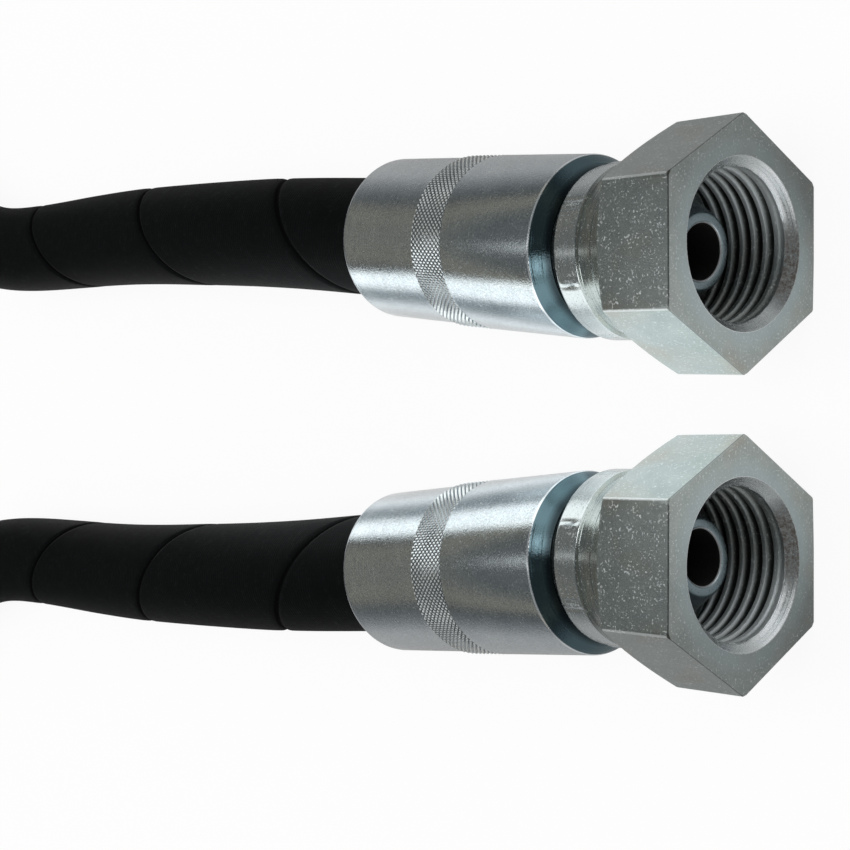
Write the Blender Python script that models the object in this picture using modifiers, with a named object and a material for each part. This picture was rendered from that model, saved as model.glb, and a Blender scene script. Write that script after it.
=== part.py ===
# Hydraulic hose assembly: two-wire-braid hose, 10 mm bore, about 1 m long, with a
# crimped-on G 1/2 female swivel fitting on each end. The two ends lie side by side on
# flats of their nuts, and the hose runs back from them in one flat loop.
# Metres, +Z up. The origin is on the surface, under the middle of the two end fittings.

import math

import bmesh
import bpy
import numpy as np
from mathutils import Matrix, Vector

MM = 0.001

# ---------------------------------------------------------------- driving dimensions
FIT_GAP = 0.3 * MM                 # between pieces that touch
LAYER_GAP = 0.2 * MM               # between one hose layer and the next

# hose, from the bore outwards
HOSE_BORE = 9.9 * MM
TUBE_WALL = 1.25 * MM
INNER_BRAID_WALL = 0.5 * MM
INTERLAYER_WALL = 0.3 * MM
OUTER_BRAID_WALL = 0.5 * MM
COVER_WALL = 0.7 * MM

# swivel nut, depths measured back from its mouth face
NUT_FLATS = 27.0 * MM              # across flats
NUT_HEX = 10.2 * MM                # mouth face to the rear end of a hexagon corner
CORNER_CUT = 0.35 * MM             # light chamfer on the front corners
CORNER_CUT_SLOPE = 0.6             # axial run for each unit of radius
REAR_CHAMFER = math.radians(24.0)  # slope of the rear chamfer from the face plane
COLLAR_WALL = 0.57 * MM            # turned collar outside the relief groove
WAIST_LENGTH = 2.4 * MM            # turned waist between the collar and the lip
WAIST_DEPTH = 0.3 * MM
NUT_LIP = 4.2 * MM                 # length of the swaged lip at the rear
LIP_DRAW = 0.15 * MM               # how much the swaging draws the lip in
LIP_ROUND = 0.45 * MM
LIP_WALL = 2.2 * MM                # length of the lip's bore
LIP_SLOPE = 0.7                    # bearing face: axial run for each unit of radius
LIP_PLAY = 1.0 * MM                # between the lip's bore and the insert's neck
THREAD_MAJOR = 20.955 * MM         # G 1/2
THREAD_MINOR = 18.631 * MM
THREAD_PITCH = 1.814 * MM
THREAD_CREST_SHARE = 1 / 3         # flat crest's share of the pitch, which makes a 55 degree thread
THREAD_LENGTH = 11.8 * MM          # mouth face to the relief groove
RELIEF_WIDTH = 1.8 * MM
RELIEF_DEPTH = 0.15 * MM           # beyond the thread's major radius
RELIEF_SLOPE = 0.5                 # axial run for each unit of radius at the groove's sides
MOUTH_CHAMFER = 0.985 * MM
MOUTH_SLOPE = 1.2                  # axial run for each unit of radius

# insert: nose, head, neck, flange groove, stop collar and barbed tail
NOSE_DEPTH = 6.4 * MM              # mouth face of the nut to the tip of the nose
NOSE_WALL = 1.43 * MM
NOSE_ROUND = 0.4 * MM
BORE_CHAMFER = 0.25 * MM
CONE_HALF_ANGLE = math.radians(30.0)
HEAD_PLAY = 0.565 * MM             # between the head and the crests of the nut's thread
HEAD_LAND = 3.2 * MM               # straight part of the head
HEAD_BACK_SLOPE = 1.3 * MM         # axial run of the cone behind the head
NECK_DIAMETER = 12.8 * MM
GROOVE_DEPTH = 0.8 * MM            # groove that the ferrule's flange sits in
STOP_HEIGHT = 0.8 * MM             # stop collar above the neck
STOP_LENGTH = 1.7 * MM
TAIL_LENGTH = 32.5 * MM
TAIL_WALL = 0.8 * MM               # under the barbs
BARB_DEPTH = 0.35 * MM
BARB_COUNT = 5
BARB_SLOPE_SHARE = 0.6             # sloped part of a barb's pitch

# ferrule
FERRULE_LENGTH = 41.8 * MM
FERRULE_STANDOFF = 1.3 * MM        # rear of the nut to the ferrule's front end
FERRULE_WALL = 2.2 * MM            # outside the tooth grooves, nut-side section
TAIL_STEP = 0.35 * MM              # how much smaller the hose-side section is
FLANGE_THICKNESS = 3.2 * MM
SHOULDER_RUN = 1.3 * MM            # rounded front shoulder, along the axis
SHOULDER_DROP = 2.0 * MM           # and along the radius
BAND_START = 18.0 * MM             # ferrule's front end to the knurled band
BAND_WIDTH = 5.6 * MM
BAND_DROP = 0.1 * MM               # plain seat under the knurling
TOOTH_DEPTH = 0.5 * MM
TOOTH_COUNT = 5
TOOTH_SLOPE_SHARE = 0.2            # steep part of a tooth's pitch
MOUTH_ROUND = 0.8 * MM             # rounding at the hose-side end
MOUTH_TAPER = 1.2 * MM             # widening of the bore at that end

# how the two ends lie
END_GAP = 7.56 * MM                # between the front corners of the two nuts
NUT_SPLAY = math.radians(1.4)      # yaw of a nut from +X
INSERT_SPLAY = math.radians(6.2)   # yaw of an insert from +X; the nut hangs slack on it
PIVOT_DEPTH = 13.7 * MM            # mouth face to where the two axes cross
SEAT_PLAY = 0.35 * MM              # between the back of a cocked head and the nut's lip
SURFACE_GAP = 0.05 * MM            # hose to the surface

# faceting
TURNED_STEPS = 24
RING_PITCH = 2.0                   # hose diameters from one ring of the hose to the next
HOSE_BEVEL_RESOLUTION = 4          # 12 sides
SHOULDER_STEPS = 3
CUTTER_OVERHANG = 2.0 * MM         # past the ends of what it cuts
BLANK_MARGIN = 0.6 * MM            # turned blank outside the hexagon's corners
RIDGE_MARGIN = 0.3 * MM            # thread cutter inside the bore
MERGE = 0.01 * MM

# Route of the hose's centre line behind end a, as (x, y, lift above its height at rest on
# the surface). The other half is its mirror image, and the last point lies on the mirror plane.
HOSE_ROUTE = [
    (-0.0774, 0.0293, 0.0034),
    (-0.1053, 0.0312, 0.0017),
    (-0.1333, 0.0324, 0.0003),
    (-0.1567, 0.0328, 0.0000),
    (-0.1763, 0.0345, 0.0000),
    (-0.1936, 0.0392, 0.0000),
    (-0.2105, 0.0476, 0.0000),
    (-0.2263, 0.0598, 0.0000),
    (-0.2409, 0.0733, 0.0000),
    (-0.2567, 0.0839, 0.0000),
    (-0.2743, 0.0910, 0.0000),
    (-0.2953, 0.0946, 0.0000),
    (-0.3212, 0.0925, 0.0000),
    (-0.3475, 0.0824, 0.0000),
    (-0.3698, 0.0649, 0.0000),
    (-0.3856, 0.0421, 0.0000),
    (-0.3935, 0.0194, 0.0000),
    (-0.3955, 0.0000, 0.0000),
]

# ---------------------------------------------------------------- derived sizes
TUBE_INNER = HOSE_BORE / 2
TUBE_OUTER = TUBE_INNER + TUBE_WALL
BRAID1_INNER = TUBE_OUTER + LAYER_GAP
BRAID1_OUTER = BRAID1_INNER + INNER_BRAID_WALL
INTER_INNER = BRAID1_OUTER + LAYER_GAP
INTER_OUTER = INTER_INNER + INTERLAYER_WALL
BRAID2_INNER = INTER_OUTER + LAYER_GAP
BRAID2_OUTER = BRAID2_INNER + OUTER_BRAID_WALL
COVER_INNER = BRAID2_OUTER + LAYER_GAP
HOSE_RADIUS = COVER_INNER + COVER_WALL

# insert and nut
COCK = INSERT_SPLAY - NUT_SPLAY                 # angle between a nut's and an insert's axis
TAIL_TIP = TUBE_INNER - FIT_GAP
TAIL_ROOT = TAIL_TIP - BARB_DEPTH
INSERT_BORE = TAIL_ROOT - TAIL_WALL             # radius
NOSE_RADIUS = INSERT_BORE + NOSE_WALL
HEAD_RADIUS = THREAD_MINOR / 2 - HEAD_PLAY
NECK_RADIUS = NECK_DIAMETER / 2
GROOVE_RADIUS = NECK_RADIUS - GROOVE_DEPTH
LIP_BORE = NECK_RADIUS + LIP_PLAY
COLLAR_RADIUS = THREAD_MAJOR / 2 + RELIEF_DEPTH + COLLAR_WALL
CORNER_RADIUS = NUT_FLATS / math.sqrt(3)
FRONT_CORNER = CORNER_RADIUS - CORNER_CUT

# ferrule
TOOTH_RADIUS = HOSE_RADIUS + FIT_GAP
CAVITY_RADIUS = TOOTH_RADIUS + TOOTH_DEPTH
FERRULE_RADIUS = CAVITY_RADIUS + FERRULE_WALL
FERRULE_TAIL_RADIUS = FERRULE_RADIUS - TAIL_STEP

# depths behind the nut's mouth face, along the axis
CONE_START = NOSE_DEPTH + NOSE_ROUND
HEAD_START = CONE_START + (HEAD_RADIUS - NOSE_RADIUS) / math.tan(CONE_HALF_ANGLE)
HEAD_END = HEAD_START + HEAD_LAND
NECK_START = HEAD_END + HEAD_BACK_SLOPE
SEAT_START = HEAD_END + HEAD_RADIUS * math.tan(COCK) + SEAT_PLAY
SEAT_END = SEAT_START + (THREAD_MINOR / 2 - LIP_BORE) * LIP_SLOPE
NUT_LENGTH = SEAT_END + LIP_WALL
FERRULE_FRONT = NUT_LENGTH + FERRULE_STANDOFF
GROOVE_START = FERRULE_FRONT - FIT_GAP
FLANGE_END = FERRULE_FRONT + FLANGE_THICKNESS
STOP_START = FLANGE_END + FIT_GAP
STOP_END = STOP_START + STOP_LENGTH
HOSE_END = STOP_END + FIT_GAP
TAIL_END = STOP_END + TAIL_LENGTH
FERRULE_END = FERRULE_FRONT + FERRULE_LENGTH

# how the ends lie
AXIS_HEIGHT = max(NUT_FLATS / 2, FERRULE_RADIUS + SURFACE_GAP)   # the nuts lie on a flat
HOSE_HEIGHT = HOSE_RADIUS + SURFACE_GAP
PIVOT_Y = FRONT_CORNER * math.cos(NUT_SPLAY) + PIVOT_DEPTH * math.sin(NUT_SPLAY) + END_GAP / 2
# the origin is midway between the foremost nut corner and the rearmost ferrule edge
FRONT_REACH = PIVOT_DEPTH * math.cos(NUT_SPLAY) + FRONT_CORNER * math.sin(NUT_SPLAY)
REAR_REACH = ((FERRULE_END - PIVOT_DEPTH) * math.cos(INSERT_SPLAY)
              + (FERRULE_TAIL_RADIUS - MOUTH_ROUND) * math.sin(INSERT_SPLAY))
PIVOT_X = (REAR_REACH - FRONT_REACH) / 2


def material(name, colour, roughness, metallic):
    mat = bpy.data.materials.new(name)
    mat.use_nodes = True
    shader = mat.node_tree.nodes["Principled BSDF"]
    shader.inputs["Base Color"].default_value = (*colour, 1.0)
    shader.inputs["Roughness"].default_value = roughness
    shader.inputs["Metallic"].default_value = metallic
    mat.diffuse_color = (*colour, 1.0)
    return mat


def new_object(name, mesh, collection, mat=None):
    obj = bpy.data.objects.new(name, mesh)
    collection.objects.link(obj)
    if mat:
        mesh.materials.append(mat)
    return obj


def as_cutter(obj):
    obj.hide_render = True
    obj.display_type = "WIRE"
    return obj


def evaluated_mesh(obj):
    """The object's mesh with its modifiers or curve bevel applied."""
    depsgraph = bpy.context.evaluated_depsgraph_get()
    return bpy.data.meshes.new_from_object(obj.evaluated_get(depsgraph))


def turned(name, profile, collection, mat=None):
    """A closed ring turned about local Z. The profile is a closed list of
    (radius, depth behind the mouth face) that runs down the outer side first."""
    mesh = bpy.data.meshes.new(name)
    points = [(radius, 0.0, -depth) for radius, depth in profile]
    edges = [(i, (i + 1) % len(points)) for i in range(len(points))]
    mesh.from_pydata(points, edges, [])
    obj = new_object(name, mesh, collection, mat)
    screw = obj.modifiers.new("turn", "SCREW")
    screw.axis = "Z"
    screw.steps = TURNED_STEPS
    screw.render_steps = TURNED_STEPS
    screw.use_merge_vertices = True
    screw.merge_threshold = MERGE
    return obj


def cut(obj, cutter, operation="DIFFERENCE"):
    modifier = obj.modifiers.new(cutter.name, "BOOLEAN")
    modifier.operation = operation
    modifier.solver = "EXACT"
    modifier.object = cutter


def smooth_shade(obj, angle=30.0):
    obj.data.shade_smooth()
    obj.data.set_sharp_from_angle(angle=math.radians(angle))


def axis_frame(side, splay):
    """World matrix of a fitting, with its origin at the mouth face, local +Z out of the
    mouth and local Y up. All frames of one end meet at the pivot."""
    yaw = -side * splay
    along = Vector((math.cos(yaw), math.sin(yaw), 0.0))
    across = Vector((-math.sin(yaw), math.cos(yaw), 0.0))
    up = Vector((0.0, 0.0, 1.0))
    frame = Matrix((across, up, along)).transposed().to_4x4()
    frame.translation = Vector((PIVOT_X, side * PIVOT_Y, AXIS_HEIGHT)) + along * PIVOT_DEPTH
    return frame


# ---------------------------------------------------------------- swivel nut
def nut_profile():
    outside = CORNER_RADIUS + BLANK_MARGIN
    rear_slope = math.tan(REAR_CHAMFER)
    waist = COLLAR_RADIUS - WAIST_DEPTH
    lip = COLLAR_RADIUS - LIP_DRAW
    lip_start = NUT_LENGTH - NUT_LIP
    waist_start = lip_start - WAIST_LENGTH
    minor = THREAD_MINOR / 2
    relief = THREAD_MAJOR / 2 + RELIEF_DEPTH
    relief_end = THREAD_LENGTH + RELIEF_WIDTH
    relief_run = (relief - minor) * RELIEF_SLOPE
    return [
        (FRONT_CORNER, 0.0),
        (outside, (outside - FRONT_CORNER) * CORNER_CUT_SLOPE),
        (outside, NUT_HEX - (outside - CORNER_RADIUS) * rear_slope),
        (COLLAR_RADIUS, NUT_HEX + (CORNER_RADIUS - COLLAR_RADIUS) * rear_slope),
        (COLLAR_RADIUS, waist_start),
        (waist, waist_start + WAIST_DEPTH),
        (waist, lip_start - WAIST_DEPTH),
        (lip, lip_start),
        (lip, NUT_LENGTH - LIP_ROUND),
        (lip - LIP_ROUND, NUT_LENGTH),
        (LIP_BORE, NUT_LENGTH),
        (LIP_BORE, SEAT_END),
        (minor, SEAT_START),
        (minor, relief_end + relief_run),
        (relief, relief_end),
        (relief, THREAD_LENGTH),
        (minor, THREAD_LENGTH - relief_run),
        (minor, MOUTH_CHAMFER * MOUTH_SLOPE),
        (minor + MOUTH_CHAMFER, 0.0),
    ]


def thread_cutter(collection):
    """A right-handed helical ridge that leaves the G 1/2 groove in the nut's bore. It
    starts in front of the mouth and ends in the relief groove."""
    root = THREAD_MAJOR / 2
    minor = THREAD_MINOR / 2
    inside = minor - RIDGE_MARGIN
    half_width = THREAD_PITCH * (1 - THREAD_CREST_SHARE) / 2 * (root - inside) / (root - minor)
    end_depth = THREAD_LENGTH + RELIEF_WIDTH / 2
    turns = math.ceil((end_depth + half_width) / THREAD_PITCH)
    mesh = bpy.data.meshes.new("thread_profile")
    points = [(inside, 0.0, -end_depth + half_width),
              (root, 0.0, -end_depth),
              (inside, 0.0, -end_depth - half_width)]
    mesh.from_pydata(points, [(0, 1), (1, 2), (2, 0)], [])
    profile = new_object("thread_profile", mesh, collection)
    screw = profile.modifiers.new("helix", "SCREW")
    screw.axis = "Z"
    screw.angle = 2 * math.pi
    screw.screw_offset = THREAD_PITCH
    screw.iterations = turns
    screw.steps = TURNED_STEPS
    screw.render_steps = TURNED_STEPS
    screw.use_merge_vertices = False
    ridge = evaluated_mesh(profile)
    bpy.data.objects.remove(profile)
    bm = bmesh.new()
    bm.from_mesh(ridge)
    open_edges = [edge for edge in bm.edges if edge.is_boundary]
    bmesh.ops.holes_fill(bm, edges=open_edges, sides=3)
    bmesh.ops.recalc_face_normals(bm, faces=bm.faces)
    bm.to_mesh(ridge)
    bm.free()
    return as_cutter(new_object("thread_cutter", ridge, collection))


def hexagon_cutter(collection):
    """The hexagonal bar that the nut's turned outline is cut from, corners sideways."""
    mesh = bpy.data.meshes.new("hexagon_bar")
    bm = bmesh.new()
    place = Matrix.Translation((0, 0, -NUT_LENGTH / 2)) @ Matrix.Rotation(math.radians(30), 4, "Z")
    bmesh.ops.create_cone(bm, cap_ends=True, segments=6, depth=NUT_LENGTH + 2 * CUTTER_OVERHANG,
                          radius1=CORNER_RADIUS, radius2=CORNER_RADIUS, matrix=place)
    bm.to_mesh(mesh)
    bm.free()
    return as_cutter(new_object("hexagon_bar", mesh, collection))


def make_nut_mesh(parts, cutters, mat):
    blank = turned("nut_blank", nut_profile(), parts, mat)
    hexagon = hexagon_cutter(cutters)
    thread = thread_cutter(cutters)
    cut(blank, hexagon, "INTERSECT")
    cut(blank, thread)
    mesh = evaluated_mesh(blank)
    mesh.name = "swivel_nut"
    bpy.data.objects.remove(blank)
    return mesh


# ---------------------------------------------------------------- insert and ferrule
def insert_profile():
    profile = [
        (INSERT_BORE + BORE_CHAMFER, NOSE_DEPTH),
        (NOSE_RADIUS - NOSE_ROUND, NOSE_DEPTH),
        (NOSE_RADIUS, CONE_START),
        (HEAD_RADIUS, HEAD_START),
        (HEAD_RADIUS, HEAD_END),
        (NECK_RADIUS, NECK_START),
        (NECK_RADIUS, GROOVE_START),
        (GROOVE_RADIUS, GROOVE_START),
        (GROOVE_RADIUS, STOP_START),
        (NECK_RADIUS + STOP_HEIGHT, STOP_START),
        (NECK_RADIUS + STOP_HEIGHT, STOP_END),
        (TAIL_ROOT, STOP_END),
    ]
    pitch = TAIL_LENGTH / (BARB_COUNT + 0.5)
    for i in range(BARB_COUNT):
        start = STOP_END + pitch * (i + 0.5)
        profile += [(TAIL_TIP, start), (TAIL_ROOT, start + pitch * BARB_SLOPE_SHARE)]
    profile += [(TAIL_ROOT, TAIL_END), (INSERT_BORE, TAIL_END),
                (INSERT_BORE, NOSE_DEPTH + BORE_CHAMFER)]
    return profile


def ferrule_profile():
    flange_bore = GROOVE_RADIUS + FIT_GAP
    band = FERRULE_FRONT + BAND_START
    face = FERRULE_RADIUS - SHOULDER_DROP
    tail = FERRULE_TAIL_RADIUS
    round_inset = MOUTH_ROUND * (1 - math.sqrt(0.5))
    profile = []
    for turn in np.linspace(0.0, math.pi / 2, SHOULDER_STEPS + 1):
        profile.append((face + SHOULDER_DROP * math.sin(turn),
                        FERRULE_FRONT + SHOULDER_RUN * (1 - math.cos(turn))))
    profile += [
        (FERRULE_RADIUS, band),
        (FERRULE_RADIUS - BAND_DROP, band),
        (FERRULE_RADIUS - BAND_DROP, band + BAND_WIDTH),
        (tail, band + BAND_WIDTH),
        (tail, FERRULE_END - MOUTH_ROUND),
        (tail - round_inset, FERRULE_END - round_inset),
        (tail - MOUTH_ROUND, FERRULE_END),
        (CAVITY_RADIUS, FERRULE_END),
        (TOOTH_RADIUS, FERRULE_END - MOUTH_TAPER),
    ]
    pitch = (FERRULE_END - HOSE_END) / (TOOTH_COUNT + 1)
    for i in range(TOOTH_COUNT):
        crest = FERRULE_END - pitch * (i + 1)
        profile += [(CAVITY_RADIUS, crest + pitch * TOOTH_SLOPE_SHARE), (TOOTH_RADIUS, crest)]
    profile += [(CAVITY_RADIUS, FLANGE_END), (flange_bore, FLANGE_END),
                (flange_bore, FERRULE_FRONT)]
    return profile


# ---------------------------------------------------------------- hose
def cubic_through(points, samples=24):
    """A natural cubic spline through the points, by chord length, as a fine polyline."""
    step = np.linalg.norm(np.diff(points, axis=0), axis=1)
    chord = np.diff(points, axis=0) / step[:, None]
    count = len(points)
    system = np.eye(count)
    right = np.zeros((count, 3))
    for i in range(1, count - 1):
        system[i, i - 1:i + 2] = step[i - 1], 2 * (step[i - 1] + step[i]), step[i]
        right[i] = 6 * (chord[i] - chord[i - 1])
    bend = np.linalg.solve(system, right)
    line = []
    for i in range(count - 1):
        t = np.linspace(0.0, step[i], samples, endpoint=False)[:, None]
        slope = chord[i] - step[i] * (2 * bend[i] + bend[i + 1]) / 6
        twist = (bend[i + 1] - bend[i]) / step[i]
        line.append(points[i] + slope * t + bend[i] * t ** 2 / 2 + twist * t ** 3 / 6)
    line.append(points[-1:])
    return np.concatenate(line)


def hose_points():
    """The route's points, from the hose's end inside ferrule a to its end inside ferrule b."""
    halves = []
    depths = [HOSE_END, (HOSE_END + FERRULE_END) / 2, FERRULE_END, FERRULE_END + 2 * HOSE_RADIUS]
    for side in (1, -1):
        frame = axis_frame(side, INSERT_SPLAY)
        straight = [tuple(frame @ Vector((0, 0, -depth))) for depth in depths]
        run = [(x, side * y, HOSE_HEIGHT + lift) for x, y, lift in HOSE_ROUTE]
        halves.append(straight + run)
    return np.array(halves[0] + halves[1][-2::-1])


def hose_rings():
    """Evenly spaced ring centres along the smooth curve, and the curve's length."""
    line = cubic_through(hose_points())
    run = np.concatenate([[0.0], np.cumsum(np.linalg.norm(np.diff(line, axis=0), axis=1))])
    spans = round(run[-1] / (RING_PITCH * 2 * HOSE_RADIUS))
    stations = np.linspace(0.0, run[-1], spans + 1)
    rings = np.stack([np.interp(stations, run, line[:, k]) for k in range(3)], axis=1)
    return rings, float(run[-1])


def tube(name, rings, radius, collection, mat=None):
    """A closed round bar along the rings, as a mesh."""
    curve = bpy.data.curves.new(name, "CURVE")
    curve.dimensions = "3D"
    curve.twist_mode = "Z_UP"
    curve.bevel_depth = radius
    curve.bevel_resolution = HOSE_BEVEL_RESOLUTION
    curve.use_fill_caps = True
    spline = curve.splines.new("POLY")
    spline.points.add(len(rings) - 1)
    spline.points.foreach_set("co", np.c_[rings, np.ones(len(rings))].ravel())
    guide = bpy.data.objects.new(name + "_curve", curve)
    collection.objects.link(guide)
    mesh = evaluated_mesh(guide)
    bpy.data.objects.remove(guide)
    bm = bmesh.new()
    bm.from_mesh(mesh)
    bmesh.ops.remove_doubles(bm, verts=bm.verts, dist=MERGE)
    bm.to_mesh(mesh)
    bm.free()
    mesh.name = name
    mesh.materials.clear()
    return new_object(name, mesh, collection, mat)


def hose_layer(name, rings, inner, outer, parts, cutters, mat):
    past_first = (rings[0] - rings[1]) / np.linalg.norm(rings[0] - rings[1])
    past_last = (rings[-1] - rings[-2]) / np.linalg.norm(rings[-1] - rings[-2])
    bore_line = np.vstack([rings[0] + past_first * CUTTER_OVERHANG, rings[1:-1],
                           rings[-1] + past_last * CUTTER_OVERHANG])
    layer = tube(name, rings, outer, parts, mat)
    cut(layer, as_cutter(tube(name + "_bore", bore_line, inner, cutters)))
    smooth_shade(layer, 40.0)


def build():
    for obj in list(bpy.data.objects):
        bpy.data.objects.remove(obj)
    parts = bpy.data.collections.new("hydraulic_hose_assembly")
    cutters = bpy.data.collections.new("cutters")
    bpy.context.scene.collection.children.link(parts)
    bpy.context.scene.collection.children.link(cutters)

    insert_zinc = material("insert_zinc", (0.50, 0.53, 0.56), 0.38, 1.0)
    ferrule_zinc = material("ferrule_zinc", (0.54, 0.57, 0.58), 0.32, 1.0)
    nut_zinc = material("nut_zinc", (0.46, 0.48, 0.48), 0.42, 1.0)

    rings, length = hose_rings()
    print(f"hose length {length * 1000:.1f} mm, nut face to nut face "
          f"{(length + 2 * HOSE_END) * 1000:.1f} mm, {len(rings)} rings")
    layers = [
        ("inner_tube", TUBE_INNER, TUBE_OUTER, (0.030, 0.030, 0.030), 0.6, 0.0),
        ("wire_braid_inner", BRAID1_INNER, BRAID1_OUTER, (0.62, 0.52, 0.34), 0.35, 1.0),
        ("braid_interlayer", INTER_INNER, INTER_OUTER, (0.045, 0.040, 0.036), 0.7, 0.0),
        ("wire_braid_outer", BRAID2_INNER, BRAID2_OUTER, (0.64, 0.54, 0.36), 0.33, 1.0),
        ("outer_cover", COVER_INNER, HOSE_RADIUS, (0.025, 0.026, 0.028), 0.7, 0.0),
    ]
    for name, inner, outer, *look in layers:
        hose_layer(name, rings, inner, outer, parts, cutters, material(name, *look))

    nut_mesh = make_nut_mesh(parts, cutters, nut_zinc)
    for end, side in (("a", 1), ("b", -1)):
        insert = turned(f"insert_{end}", insert_profile(), parts, insert_zinc)
        ferrule = turned(f"ferrule_{end}", ferrule_profile(), parts, ferrule_zinc)
        nut = new_object(f"swivel_nut_{end}", nut_mesh, parts)
        insert.matrix_world = axis_frame(side, INSERT_SPLAY)
        ferrule.matrix_world = axis_frame(side, INSERT_SPLAY)
        nut.matrix_world = axis_frame(side, NUT_SPLAY)
        for piece in (insert, ferrule, nut):
            smooth_shade(piece)


build()
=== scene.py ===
# Hydraulic hose assembly: the CAD model dressed with a wrapped hose and zinc-plated ends.
import math

import bmesh
import bpy
import numpy as np
from mathutils import Matrix, Vector


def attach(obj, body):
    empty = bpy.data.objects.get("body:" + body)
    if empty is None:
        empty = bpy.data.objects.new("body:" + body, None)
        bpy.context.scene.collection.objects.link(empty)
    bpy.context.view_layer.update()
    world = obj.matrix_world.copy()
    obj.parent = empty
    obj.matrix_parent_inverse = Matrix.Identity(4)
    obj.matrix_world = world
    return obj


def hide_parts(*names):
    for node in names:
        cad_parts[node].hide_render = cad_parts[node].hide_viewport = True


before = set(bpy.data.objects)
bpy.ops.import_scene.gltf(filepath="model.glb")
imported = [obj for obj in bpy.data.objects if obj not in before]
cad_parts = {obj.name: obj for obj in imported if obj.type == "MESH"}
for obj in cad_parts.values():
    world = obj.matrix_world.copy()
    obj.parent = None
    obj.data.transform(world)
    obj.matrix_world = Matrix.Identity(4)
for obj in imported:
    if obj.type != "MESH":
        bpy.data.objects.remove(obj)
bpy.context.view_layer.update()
scene = bpy.context.scene
mm = 0.001
turn = 2 * math.pi
print("frame loaded:", len(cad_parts), "nodes")

shot = {
    "place": (0.15285, 0.0, 0.16466),
    "tilt": 40.149,        # degrees below the horizon; the picture's right is the object's +X
    "lens": 67.76,         # on a 36 mm sensor
    "shiftY": -0.0241,
}


def makeCamera():
    tilt = math.radians(shot["tilt"])
    right = (math.sin(tilt), 0.0, -math.cos(tilt))
    back = (math.cos(tilt), 0.0, math.sin(tilt))
    data = bpy.data.cameras.new("portraitCamera")
    data.lens = shot["lens"]
    data.shift_y = shot["shiftY"]
    data.clip_start = 0.005
    camera = bpy.data.objects.new("portraitCamera", data)
    scene.collection.objects.link(camera)
    placed = Matrix((right, (0.0, 1.0, 0.0), back)).transposed().to_4x4()
    placed.translation = shot["place"]
    camera.matrix_world = placed
    scene.camera = camera


makeCamera()
print("camera set")


def gridFaces(rows, columns, closeRows=False):
    # quads between neighbouring rows and columns of a grid numbered row by row; a grid whose
    # rows are a closed loop also joins its last row to its first
    row = np.arange(rows if closeRows else rows - 1)[:, None]
    column = np.arange(columns - 1)[None, :]
    below = (row + 1) % rows
    corners = [row * columns + column, row * columns + column + 1,
               below * columns + column + 1, below * columns + column]
    return np.stack(np.broadcast_arrays(*corners), axis=-1).reshape(-1, 4)


def buildPiece(name, points, faces, pattern, material, body, node, sharp=35.0):
    # one closed mesh: pattern is the place of each point on the unbent, unplaced piece in mm,
    # which its material reads as "spot"; doubles at the seams are merged
    mesh = bpy.data.meshes.new(name)
    mesh.from_pydata(points.reshape(-1, 3), [], faces)
    spot = mesh.attributes.new("spot", "FLOAT_VECTOR", "POINT")
    spot.data.foreach_set("vector", pattern.reshape(-1).astype(np.float32))
    work = bmesh.new()
    work.from_mesh(mesh)
    bmesh.ops.remove_doubles(work, verts=work.verts, dist=2e-7)
    bmesh.ops.recalc_face_normals(work, faces=work.faces)
    work.to_mesh(mesh)
    work.free()
    mesh.shade_smooth()
    mesh.set_sharp_from_angle(angle=math.radians(sharp))
    mesh.materials.append(material)
    piece = bpy.data.objects.new(name, mesh)
    scene.collection.objects.link(piece)
    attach(piece, body)
    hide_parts(node)
    return piece


def roundCorners(outline, steps=4):
    # the outline's rows are (radius, depth, rounding) in mm round a closed loop; each corner
    # becomes a parabola that leaves both sides at the rounding's distance from it, or just short
    # of their middle where they are too short for that
    outline = np.array(outline, dtype=float)
    corner, reach = outline[:, :2], outline[:, 2]
    back, ahead = np.roll(corner, 1, axis=0) - corner, np.roll(corner, -1, axis=0) - corner
    backLength, aheadLength = np.linalg.norm(back, axis=1), np.linalg.norm(ahead, axis=1)
    longest = 0.48 * np.minimum(backLength, aheadLength)
    reach = np.minimum(reach, longest)[:, None]
    start = corner + back / backLength[:, None] * reach
    end = corner + ahead / aheadLength[:, None] * reach
    t = np.linspace(0.0, 1.0, steps + 1)[None, :, None]
    curve = (start[:, None] * (1 - t) ** 2 + 2 * corner[:, None] * t * (1 - t)
             + end[:, None] * t ** 2).reshape(-1, 2)
    return curve[np.linalg.norm(curve - np.roll(curve, 1, axis=0), axis=1) > 1e-4]


class Wire:
    # a socket whose arithmetic adds Math nodes
    def __init__(self, kit, socket):
        self.kit, self.socket = kit, socket

    def maths(self, operation, *others):
        values = dict(enumerate((self, *others)))
        return self.kit.node("Math", {"operation": operation}, values)

    def __add__(self, other): return self.maths("ADD", other)
    def __sub__(self, other): return self.maths("SUBTRACT", other)
    def __mul__(self, other): return self.maths("MULTIPLY", other)
    def __truediv__(self, other): return self.maths("DIVIDE", other)
    __radd__, __rmul__ = __add__, __mul__

    def __rsub__(self, other):
        return self.kit.node("Math", {"operation": "SUBTRACT"}, {0: other, 1: self})

    def clamped(self):
        return self.kit.node("Clamp", {}, {0: self})

    def between(self, low, high):
        # 0 below low, 1 above high and a smooth step from one to the other
        return self.kit.node("MapRange", {"interpolation_type": "SMOOTHSTEP"},
                             {0: self, 1: low, 2: high, 3: 0.0, 4: 1.0})

    def also(self, name):
        # another output of the same node
        return Wire(self.kit, self.socket.node.outputs[name])

    def split(self):
        x = self.kit.node("SeparateXYZ", {}, {0: self})
        return x, x.also(1), x.also(2)


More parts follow.
